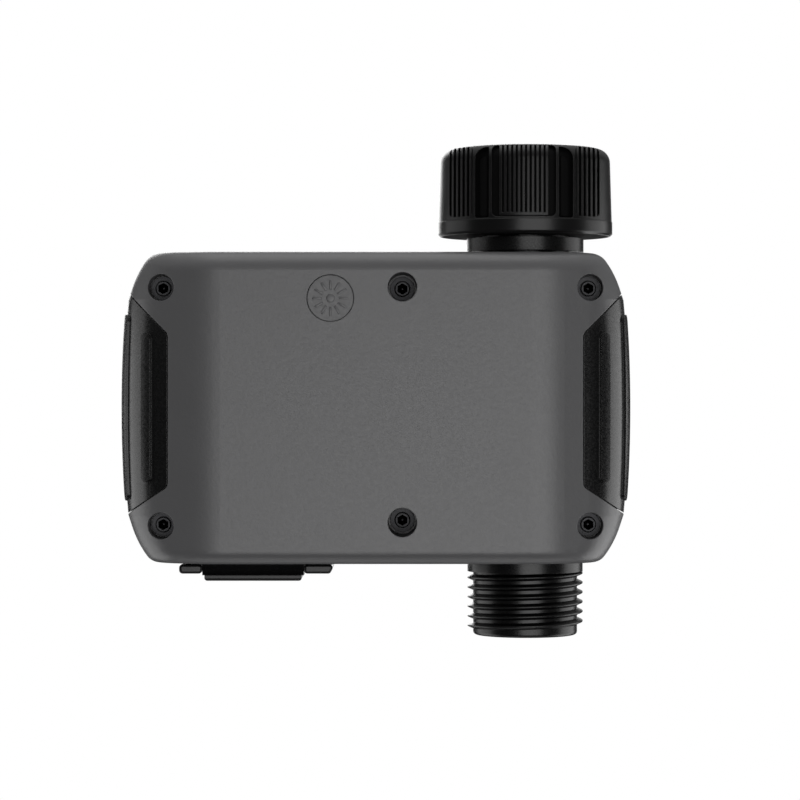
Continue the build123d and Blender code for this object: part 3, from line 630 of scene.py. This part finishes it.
@dataclass
class Wardrobe:
    """Every finish of the timer, and which node wears it."""

    shell: Finish = MouldedPlastic("shell_grey", (0.115, 0.115, 0.118), roughness=0.38,
                                   roughness_swing=0.026, grain_m=0.8 * MM, grain_depth_m=0.028 * MM,
                                   mottle=0.04, specular=0.8, edge_m=0.3 * MM)
    medallion: Finish = MouldedPlastic("medallion_grey", (0.113, 0.113, 0.116), roughness=0.38,
                                       grain_m=0.7 * MM, specular=0.8)
    grip: Finish = MouldedPlastic("grip_black", (0.003, 0.003, 0.0033), roughness=0.27, grain_m=0.5 * MM,
                                  grain_depth_m=0.005 * MM, specular=0.75)
    nut: Finish = PolishedLands("nut_black", (0.0025, 0.0025, 0.0027))
    black: Finish = MouldedPlastic("fitting_black", (0.0025, 0.0025, 0.0027), roughness=0.3,
                                   grain_m=0.25 * MM, grain_depth_m=0.008 * MM)
    door: Finish = MouldedPlastic("door_black", (0.003, 0.003, 0.0032), roughness=0.22, specular=0.36,
                                  grain_m=0.25 * MM, grain_depth_m=0.01 * MM)
    rubber: Finish = MouldedPlastic("seal_rubber", (0.014, 0.014, 0.014), roughness=0.7, grain_m=0.5 * MM,
                                    specular=0.3)
    button: Finish = MouldedPlastic("button_blue_grey", (0.035, 0.11, 0.19), roughness=0.42,
                                    grain_m=0.3 * MM)
    white: Finish = MouldedPlastic("white_nylon", (0.72, 0.72, 0.7), roughness=0.4)
    bobbin: Finish = MouldedPlastic("bobbin_nylon", (0.34, 0.35, 0.34), roughness=0.45)
    chip: Finish = MouldedPlastic("chip_epoxy", (0.012, 0.012, 0.013), roughness=0.55)
    screw: Finish = MouldedPlastic("screw_black_zinc", (0.04, 0.04, 0.042), roughness=0.36, metallic=1.0,
                                   grain_m=0.2 * MM, grain_depth_m=0.006 * MM)
    steel: Finish = DrawnMetal("drawn_steel", (0.56, 0.56, 0.57))
    can: Finish = DrawnMetal("capacitor_can", (0.6, 0.6, 0.62), roughness=0.36)
    nickel: Finish = DrawnMetal("magnet_nickel", (0.62, 0.61, 0.59), roughness=0.18)
    brass: Finish = DrawnMetal("contact_brass", (0.74, 0.56, 0.26), roughness=0.24)
    coil: Finish = WoundWire("coil_wire", (0.62, 0.27, 0.12))
    board: Finish = BoardLaminate("board_laminate")
    clear: Finish = ClearPlastic("light_pipe_clear")
    made: dict[str, bpy.types.Material] = field(default_factory=dict)

    def material(self, finish: Finish) -> bpy.types.Material:
        """Makes a finish once and gives it again when asked.

        Args:
            finish: The finish to make.

        Returns:
            Its material.
        """
        if finish.name not in self.made:
            self.made[finish.name] = finish.build()
        return self.made[finish.name]

    def dress_node(self, node: str, finish: Finish) -> None:
        """Gives a finish to every slot of a CAD node.

        Args:
            node: The node's name.
            finish: The finish that it wears.
        """
        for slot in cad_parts[node].material_slots:
            slot.material = self.material(finish)

    def dress_piece(self, piece: bpy.types.Object, finish: Finish, body: Body) -> None:
        """Gives a new piece its finish and its body.

        Args:
            piece: The new piece.
            finish: The finish that it wears.
            body: The body that it rides on.
        """
        piece.data.materials.clear()
        piece.data.materials.append(self.material(finish))
        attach(piece, body.value)
        LOG.info("piece %s rides on %s", piece.name, body.value)

    def dress_frame(self) -> None:
        """Dresses every node that keeps its own shape."""
        low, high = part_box("battery_1")
        jacket = CellJacket("cell_jacket", (0.02, 0.022, 0.025), (0.55, 0.3, 0.12), (low[2], high[2]))
        worn: tuple[tuple[Finish, tuple[str, ...]], ...] = (
            (self.shell, ("rear_cover", "front_cover")),
            (self.medallion, ("rear_medallion",)),
            (self.grip, ("left_grip", "right_grip")),
            (self.nut, ("inlet_nut",)),
            (self.black, ("valve_body", "bonnet", "battery_bay", "battery_drawer")),
            (self.door, ("battery_door",)),
            (self.rubber, ("housing_gasket", "neck_seal", "outlet_seal", "inlet_washer", "diaphragm",
                           "plunger_seal", "door_seal", "button_seal")),
            (self.button, ("front_button",)),
            (self.white, ("switch_plunger", "status_led", "coil_connector")),
            (self.bobbin, ("solenoid_bobbin",)),
            (self.chip, ("controller_chip", "push_switch")),
            (self.screw, ("corner_screws", "middle_screws")),
            (self.steel, ("nut_retaining_ring", "bonnet_screws", "plunger_tube", "fixed_pole",
                          "solenoid_yoke", "plunger", "plunger_spring", "radio_module")),
            (self.can, ("capacitors",)),
            (self.nickel, ("latch_magnet",)),
            (self.brass, ("bay_contacts", "battery_contacts")),
            (self.coil, ("coil_winding",)),
            (self.board, ("main_board",)),
            (self.clear, ("light_pipe",)),
            (jacket, ("battery_1", "battery_2", "battery_3", "battery_4")),
        )
        for finish, nodes in worn:
            for node in nodes:
                self.dress_node(node, finish)
            LOG.info("finish %s on %s", finish.name, ", ".join(nodes))


# ---- threads --------------------------------------------------------------------------------------
@dataclass
class HoseThread:
    """One helical ridge of the 3/4 inch hose thread, outside a stub or inside a nut."""

    name: str
    wall_radius: float
    crest_radius: float
    first_crest_z: float
    first_crest_turn: float
    turns: float
    pitch: float = 2.209 * MM
    root_width: float = 1.65 * MM
    crest_width: float = 0.34 * MM
    crest_round: float = 0.09 * MM
    run_out: float = 0.5
    least_share: float = 0.02
    sink: float = 0.15 * MM
    steps: int = 72

    @property
    def outward(self) -> int:
        """Says which way the crest points: 1 from the axis, -1 towards it."""
        return 1 if self.crest_radius > self.wall_radius else -1

    @property
    def foot(self) -> float:
        """Gives the radius of the ridge's foot, which is sunk into its wall."""
        return self.wall_radius - self.outward * self.sink

    def profile(self) -> bpy.types.Object:
        """Makes the ridge's section in the XZ plane, with a narrowed and softened crest.

        Returns:
            The flat section.
        """
        height = abs(self.crest_radius - self.foot)
        middle = (self.foot + self.crest_radius) / 2
        deselect_all()
        bpy.ops.mesh.primitive_plane_add(size=1.0, location=(middle, 0, 0), rotation=(QUARTER_TURN, 0, 0))
        section = take_new(self.name)
        section.scale = (height, self.root_width, 1.0)
        apply_place(section)
        for vertex in section.data.vertices:
            if (vertex.co.x - middle) * self.outward > 0:
                vertex.co.z *= self.crest_width / self.root_width
        make_active(section)
        bpy.ops.object.mode_set(mode="EDIT")
        bpy.ops.mesh.select_mode(type="VERT")
        bpy.ops.mesh.select_all(action="DESELECT")
        bpy.ops.object.mode_set(mode="OBJECT")
        for vertex in section.data.vertices:
            vertex.select = (vertex.co.x - middle) * self.outward > 0
        bpy.ops.object.mode_set(mode="EDIT")
        bpy.ops.mesh.bevel(offset=self.crest_round, segments=2, affect="VERTICES")
        bpy.ops.mesh.select_all(action="SELECT")
        bpy.ops.mesh.delete(type="ONLY_FACE")
        bpy.ops.object.mode_set(mode="OBJECT")
        return section

    def build(self) -> bpy.types.Object:
        """Winds the section into the thread and lets both ends run out.

        Returns:
            The thread.
        """
        ridge = self.profile()
        winding = ridge.modifiers.new("winding", "SCREW")
        total = self.turns + 2 * self.run_out
        winding.angle = math.tau * total
        winding.screw_offset = self.pitch * total
        winding.steps = winding.render_steps = int(self.steps * total)
        winding.use_merge_vertices = False
        apply_modifiers(ridge)
        self.run_out_ends(ridge, total)
        start_z = self.first_crest_z - self.pitch * self.run_out
        start_turn = self.first_crest_turn - self.run_out
        lift, turn = Matrix.Translation((0, 0, start_z)), Matrix.Rotation(math.tau * start_turn, 4, "Z")
        ridge.data.transform(lift @ turn)
        close_open_ends(ridge)
        smooth_by_angle(ridge, degrees=30.0)
        return ridge

    def run_out_ends(self, ridge: bpy.types.Object, total: float) -> None:
        """Sinks the ridge into its wall over its first and last part of a turn.

        Args:
            ridge: The wound ridge.
            total: All its turns, with both run-outs.
        """
        for vertex in ridge.data.vertices:
            radius = math.hypot(vertex.co.x, vertex.co.y)
            angle = math.atan2(vertex.co.y, vertex.co.x) / math.tau
            turn = round(vertex.co.z / self.pitch - angle) + angle
            share = max(self.least_share, min(1.0, turn / self.run_out, (total - turn) / self.run_out))
            scale_from_axis(vertex, (self.foot + (radius - self.foot) * share) / radius)


@dataclass
class Threads:
    """The outlet's outside thread and the tap nut's inside thread."""

    outlet_root: float = 12.0 * MM
    outlet_crest: float = 13.3 * MM
    outlet_first_crest: float = 2.1 * MM
    outlet_first_turn: float = 0.5
    outlet_turns: float = 5.5
    nut_wall: float = 13.55 * MM
    nut_crest: float = 12.5 * MM
    nut_first_crest: float = 8.0 * MM
    nut_first_turn: float = 0.0
    nut_turns: float = 2.6

    def build(self, wardrobe: Wardrobe) -> None:
        """Winds both threads.

        Args:
            wardrobe: Where the finishes come from.
        """
        outlet_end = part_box("valve_body")[0][2]
        outlet = HoseThread("outlet_thread_ridge", self.outlet_root, self.outlet_crest,
                            outlet_end + self.outlet_first_crest, self.outlet_first_turn,
                            self.outlet_turns).build()
        wardrobe.dress_piece(outlet, wardrobe.black, Body.HOUSING)
        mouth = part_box("inlet_nut")[1][2]
        inside = HoseThread("nut_thread_ridge", self.nut_wall, self.nut_crest,
                            mouth - self.nut_first_crest, self.nut_first_turn, self.nut_turns).build()
        wardrobe.dress_piece(inside, wardrobe.nut, Body.NUT)


# ---- small pieces ---------------------------------------------------------------------------------
def soften_edges(piece: bpy.types.Object, radius: float, segments: int = 2) -> None:
    """Rounds every sharp edge of a small piece.

    Args:
        piece: The object to soften.
        radius: The round's radius in metres.
        segments: Faces across the round.
    """
    rounding = piece.modifiers.new("rounding", "BEVEL")
    rounding.width = radius
    rounding.segments = segments
    rounding.limit_method = "ANGLE"
    rounding.angle_limit = math.radians(ROUNDED_DEGREES)
    apply_modifiers(piece)
    smooth_by_angle(piece)


@dataclass
class MedallionMotif:
    """A hub and a ring of short rays, raised on the medallion's sunk face."""

    rays: int = 12
    relief: float = 0.17 * MM
    sink: float = 0.1 * MM
    hub_radius: float = 0.95 * MM
    ray_start: float = 1.9 * MM
    ray_end: float = 4.0 * MM
    ray_width: float = 0.5 * MM
    edge: float = 0.1 * MM
    hub_sides: int = 40

    def build(self, wardrobe: Wardrobe) -> None:
        """Raises the motif.

        Args:
            wardrobe: Where the finish comes from.
        """
        low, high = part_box("rear_medallion")
        depth = low[1] + (self.sink - self.relief) / 2
        centre = Vector(((low[0] + high[0]) / 2, depth, (low[2] + high[2]) / 2))
        thickness = self.sink + self.relief
        parts = [self.make_hub(centre, thickness)]
        first = self.make_ray(centre, thickness)
        for index in range(1, self.rays):
            turn = Matrix.Translation(centre) @ Matrix.Rotation(math.tau * index / self.rays, 4, "Y")
            parts.append(copy_mesh(first, turn @ Matrix.Translation(-centre), "ray"))
        motif = join_pieces([*parts, first], "medallion_motif")
        wardrobe.dress_piece(motif, wardrobe.medallion, Body.HOUSING)

    def make_hub(self, centre: Vector, thickness: float) -> bpy.types.Object:
        """Makes the round hub.

        Args:
            centre: The motif's middle.
            thickness: From its buried back to its raised face.

        Returns:
            The hub.
        """
        deselect_all()
        bpy.ops.mesh.primitive_cylinder_add(vertices=self.hub_sides, radius=self.hub_radius,
                                            depth=thickness, location=centre,
                                            rotation=(QUARTER_TURN, 0, 0))
        hub = take_new("hub")
        apply_place(hub)
        soften_edges(hub, self.edge)
        return hub

    def make_ray(self, centre: Vector, thickness: float) -> bpy.types.Object:
        """Makes the topmost ray.

        Args:
            centre: The motif's middle.
            thickness: From its buried back to its raised face.

        Returns:
            The ray.
        """
        middle = centre + Vector((0, 0, (self.ray_start + self.ray_end) / 2))
        deselect_all()
        bpy.ops.mesh.primitive_cube_add(size=1.0, location=middle)
        ray = take_new("ray")
        ray.scale = (self.ray_width, thickness, self.ray_end - self.ray_start)
        apply_place(ray)
        soften_edges(ray, self.edge)
        return ray


@dataclass
class ContactSprings:
    """The conical wire springs that press up on the four cells."""

    base_radius: float = 3.0 * MM
    tip_radius: float = 1.3 * MM
    wire_radius: float = 0.2 * MM
    height: float = 1.8 * MM
    turns: int = 3
    steps: int = 28
    wire_sides: int = 8
    cells: int = 4

    def build(self, wardrobe: Wardrobe) -> None:
        """Winds one spring under each cell.

        Args:
            wardrobe: Where the finish comes from.
        """
        coils = []
        for number in range(1, self.cells + 1):
            low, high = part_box(f"battery_{number}")
            foot = Vector(((low[0] + high[0]) / 2, (low[1] + high[1]) / 2, low[2] - self.height))
            coils.append(self.make_coil(foot))
        springs = join_pieces(coils, "cell_springs")
        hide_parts("battery_springs")
        wardrobe.dress_piece(springs, wardrobe.steel, Body.DRAWER)

    def make_coil(self, foot: Vector) -> bpy.types.Object:
        """Winds the wire and narrows it upwards.

        Args:
            foot: The middle of the coil's base.

        Returns:
            The conical coil.
        """
        deselect_all()
        bpy.ops.mesh.primitive_circle_add(vertices=self.wire_sides, radius=self.wire_radius,
                                          rotation=(QUARTER_TURN, 0, 0),
                                          location=(self.base_radius, 0, self.wire_radius))
        coil = take_new("coil")
        apply_place(coil)
        winding = coil.modifiers.new("winding", "SCREW")
        rise = self.height - 2 * self.wire_radius
        winding.angle = math.tau * self.turns
        winding.screw_offset = rise
        winding.steps = winding.render_steps = self.steps * self.turns
        winding.use_merge_vertices = False
        apply_modifiers(coil)
        for vertex in coil.data.vertices:
            share = max(0.0, min(1.0, vertex.co.z / self.height))
            radius = math.hypot(vertex.co.x, vertex.co.y)
            scale_from_axis(vertex, (radius - share * (self.base_radius - self.tip_radius)) / radius)
        coil.data.transform(Matrix.Translation(foot))
        close_open_ends(coil)
        smooth_by_angle(coil, degrees=50.0)
        return coil


@dataclass
class StrainerMesh:
    """The woven steel strainer cup with its pressed rim."""

    cup_radius: float = 7.05 * MM
    rim_thickness: float = 0.4 * MM
    wire: float = 0.16 * MM
    wires_round: int = 60
    wires_down: int = 10
    wires_across: int = 22
    rim_sides: int = 72
    rim_round: float = 0.08 * MM

    def build(self, wardrobe: Wardrobe) -> None:
        """Weaves the cup and presses its rim.

        Args:
            wardrobe: Where the finish comes from.
        """
        low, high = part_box("strainer")
        floor, top, rim_radius = low[2], high[2], (high[0] - low[0]) / 2
        parts = [self.make_wall(floor, top), self.make_floor(floor), self.make_rim(top, rim_radius)]
        strainer = join_pieces(parts, "strainer_mesh")
        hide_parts("strainer")
        wardrobe.dress_piece(strainer, wardrobe.steel, Body.HOUSING)

    def weave(self, piece: bpy.types.Object) -> None:
        """Turns the edges of a net of faces into wires."""
        wires = piece.modifiers.new("wires", "WIREFRAME")
        wires.thickness = self.wire
        wires.use_even_offset = False
        apply_modifiers(piece)
        smooth_by_angle(piece)

    def make_wall(self, floor: float, top: float) -> bpy.types.Object:
        """Weaves the cup's wall.

        Args:
            floor: Height of the cup's floor.
            top: Height of the rim's top.

        Returns:
            The wall.
        """
        depth = top - floor - self.rim_thickness / 2
        deselect_all()
        bpy.ops.mesh.primitive_circle_add(vertices=self.wires_round, radius=self.cup_radius - self.wire / 2,
                                          location=(0, 0, floor + self.wire / 2))
        wall = take_new("wall")
        make_active(wall)
        bpy.ops.object.mode_set(mode="EDIT")
        bpy.ops.mesh.select_all(action="SELECT")
        for _ in range(self.wires_down):
            bpy.ops.mesh.extrude_region_move(
                TRANSFORM_OT_translate={"value": (0, 0, (depth - self.wire) / self.wires_down)})
        bpy.ops.object.mode_set(mode="OBJECT")
        apply_place(wall)
        self.weave(wall)
        return wall

    def make_floor(self, floor: float) -> bpy.types.Object:
        """Weaves the cup's round floor.

        Args:
            floor: Height of the cup's floor.

        Returns:
            The floor.
        """
        reach = self.cup_radius - self.wire
        deselect_all()
        bpy.ops.mesh.primitive_grid_add(x_subdivisions=self.wires_across, y_subdivisions=self.wires_across,
                                        size=2 * reach, location=(0, 0, floor + self.wire / 2))
        net = take_new("floor")
        apply_place(net)
        pick_faces(net, lambda centre, normal: math.hypot(centre.x, centre.y) > reach)
        bpy.ops.mesh.delete(type="FACE")
        bpy.ops.object.mode_set(mode="OBJECT")
        for vertex in net.data.vertices:
            radius = math.hypot(vertex.co.x, vertex.co.y)
            if radius > reach:
                scale_from_axis(vertex, reach / radius)
        self.weave(net)
        return net

    def make_rim(self, top: float, rim_radius: float) -> bpy.types.Object:
        """Presses the flat rim that the washer holds down.

        Args:
            top: Height of the rim's top.
            rim_radius: Its outer radius.

        Returns:
            The rim.
        """
        deselect_all()
        bpy.ops.mesh.primitive_cylinder_add(vertices=self.rim_sides, radius=rim_radius,
                                            depth=self.rim_thickness,
                                            location=(0, 0, top - self.rim_thickness / 2))
        rim = take_new("rim")
        apply_place(rim)
        pick_faces(rim, lambda centre, normal: abs(normal.z) > 0.5)
        bpy.ops.mesh.inset(thickness=rim_radius - self.cup_radius + self.wire)
        bpy.ops.mesh.bridge_edge_loops()
        bpy.ops.object.mode_set(mode="OBJECT")
        soften_edges(rim, self.rim_round)
        return rim


# ---- studio ---------------------------------------------------------------------------------------
@dataclass
class Softbox:
    """One rectangular studio lamp aimed at the timer."""

    name: str
    place: tuple[float, float, float]
    size: tuple[float, float]
    power: float

    def build(self, target: Vector) -> None:
        """Hangs the lamp.

        Args:
            target: The point that it faces.
        """
        lamp = bpy.data.lights.new(self.name, "AREA")
        lamp.shape = "RECTANGLE"
        lamp.size, lamp.size_y = self.size
        lamp.energy = self.power
        holder = bpy.data.objects.new(self.name, lamp)
        holder.location = self.place
        holder.rotation_euler = (target - Vector(self.place)).to_track_quat("-Z", "Y").to_euler()
        holder.visible_camera = False
        bpy.context.scene.collection.objects.link(holder)


@dataclass
class Studio:
    """Pale floor, bright backdrop side, dim camera side, soft lamps and the camera."""

    axis_x: float = -28.0 * MM
    axis_z: float = -56.6 * MM
    camera_distance: float = 680.0 * MM
    lens: float = 132.5
    shift: tuple[float, float] = (-0.0047, -0.00625)
    floor_drop: float = 0.9
    floor_radius: float = 0.42
    floor_sides: int = 96
    floor_lift: float = 0.6
    floor_greys: Span = (0.76, 0.8)
    floor_grain: float = 3 * MM
    floor_roughness: float = 0.85
    backdrop_edge: Span = (0.94, 0.975)
    room_heights: Span = (-0.1, 0.9)
    room_levels: Span = (0.02, 0.5)
    near_clip: float = 0.01

    def build(self) -> None:
        """Sets up the whole studio."""
        target = Vector((self.axis_x, 0.0, self.axis_z))
        for lamp in self.softboxes():
            lamp.build(target)
        self.build_floor()
        self.build_world()
        self.build_camera()
        LOG.info("studio ready")

    def softboxes(self) -> tuple[Softbox, ...]:
        """Lists the lamps.

        Returns:
            The front, top, side and rear lamps.
        """
        return (
            Softbox("front_softbox", (0.24, -1.42, -0.28), (1.15, 0.85), 7.1),
            Softbox("top_softbox", (-0.03, 0.0, 1.1), (1.2, 0.8), 2.6),
            Softbox("left_softbox", (-1.12, 0.34, -0.58), (1.25, 1.4), 7.2),
            Softbox("right_softbox", (1.08, 0.36, -0.56), (1.2, 1.4), 9.5),
            Softbox("rear_softbox", (-0.3, 1.7, 0.35), (1.0, 1.0), 7.5),
        )

    def build_floor(self) -> None:
        """Lays a plain pale floor well below the hanging timer, white where no shadow falls."""
        deselect_all()
        bpy.ops.mesh.primitive_circle_add(vertices=self.floor_sides, radius=self.floor_radius,
                                          fill_type="NGON", location=(self.axis_x, 0, -self.floor_drop))
        floor = take_new("studio_floor")
        sheet = NodeSheet("floor_paper")
        sheet.tint(sheet.noise(self.floor_grain), *((grey, grey, grey) for grey in self.floor_greys))
        path = sheet.tree.nodes.new("ShaderNodeLightPath")
        lift = sheet.tree.nodes.new("ShaderNodeMath")
        lift.operation = "MULTIPLY"
        lift.inputs[1].default_value = self.floor_lift
        sheet.join(path.outputs["Is Camera Ray"], lift.inputs[0])
        sheet.join(lift.outputs["Value"], sheet.shader.inputs["Emission Strength"])
        sheet.set(Roughness=self.floor_roughness, Emission_Color=WHITE)
        floor.data.materials.append(sheet.material)

    def build_world(self) -> None:
        """Lights the room: white behind the timer, bright above it and dark on the camera's side."""
        world = bpy.data.worlds.new("studio_world")
        bpy.context.scene.world = world
        world.use_nodes = True
        tree = world.node_tree
        tree.nodes.clear()
        place = tree.nodes.new("ShaderNodeTexCoord")
        split = tree.nodes.new("ShaderNodeSeparateXYZ")
        tree.links.new(place.outputs["Generated"], split.inputs["Vector"])
        backdrop = add_remap(tree, split.outputs["Y"], self.backdrop_edge, (0.0, 1.0), "SMOOTHSTEP")
        room_level = add_remap(tree, split.outputs["Z"], self.room_heights, self.room_levels, "SMOOTHSTEP")
        path = tree.nodes.new("ShaderNodeLightPath")
        glossy, through = path.outputs["Is Glossy Ray"], path.outputs["Is Transmission Ray"]
        mirrored = self.world_math(tree, "ADD", glossy, through)
        mirrored_behind = self.world_math(tree, "MULTIPLY", mirrored, backdrop)
        seen_white = self.world_math(tree, "MAXIMUM", path.outputs["Is Camera Ray"], mirrored_behind)
        room, white = tree.nodes.new("ShaderNodeBackground"), tree.nodes.new("ShaderNodeBackground")
        room.inputs["Color"].default_value = white.inputs["Color"].default_value = WHITE
        tree.links.new(room_level, room.inputs["Strength"])
        mix = tree.nodes.new("ShaderNodeMixShader")
        out = tree.nodes.new("ShaderNodeOutputWorld")
        tree.links.new(seen_white, mix.inputs["Fac"])
        tree.links.new(room.outputs["Background"], mix.inputs[1])
        tree.links.new(white.outputs["Background"], mix.inputs[2])
        tree.links.new(mix.outputs["Shader"], out.inputs["Surface"])

    @staticmethod
    def world_math(tree: bpy.types.NodeTree, operation: str, first: bpy.types.NodeSocket,
                   second: bpy.types.NodeSocket) -> bpy.types.NodeSocket:
        """Adds one sum to the world's nodes.

        Args:
            tree: The world's nodes.
            operation: The kind of sum.
            first: Its first value.
            second: Its second value.

        Returns:
            The result, held between 0 and 1 unless it is a maximum.
        """
        step = tree.nodes.new("ShaderNodeMath")
        step.operation = operation
        step.use_clamp = operation != "MAXIMUM"
        tree.links.new(first, step.inputs[0])
        tree.links.new(second, step.inputs[1])
        return step.outputs["Value"]

    def build_camera(self) -> None:
        """Places the camera level, square to the screw side."""
        lens = bpy.data.cameras.new("view")
        lens.lens = self.lens
        lens.sensor_width = FILM_WIDTH_MM
        lens.shift_x, lens.shift_y = self.shift
        lens.clip_start = self.near_clip
        holder = bpy.data.objects.new("view", lens)
        holder.location = (self.axis_x, -self.camera_distance, self.axis_z)
        holder.rotation_euler = (QUARTER_TURN, 0.0, 0.0)
        bpy.context.scene.collection.objects.link(holder)
        bpy.context.scene.camera = holder


def main() -> None:
    """Builds the pieces in order, dresses the frame and sets the studio."""
    logging.basicConfig(level=logging.INFO, format="%(name)s: %(message)s")
    bpy.context.scene.view_settings.view_transform = "Standard"
    wardrobe = Wardrobe()
    wardrobe.dress_frame()
    Threads().build(wardrobe)
    MedallionMotif().build(wardrobe)
    ContactSprings().build(wardrobe)
    StrainerMesh().build(wardrobe)
    Studio().build()


if __name__ == "__main__":
    main()
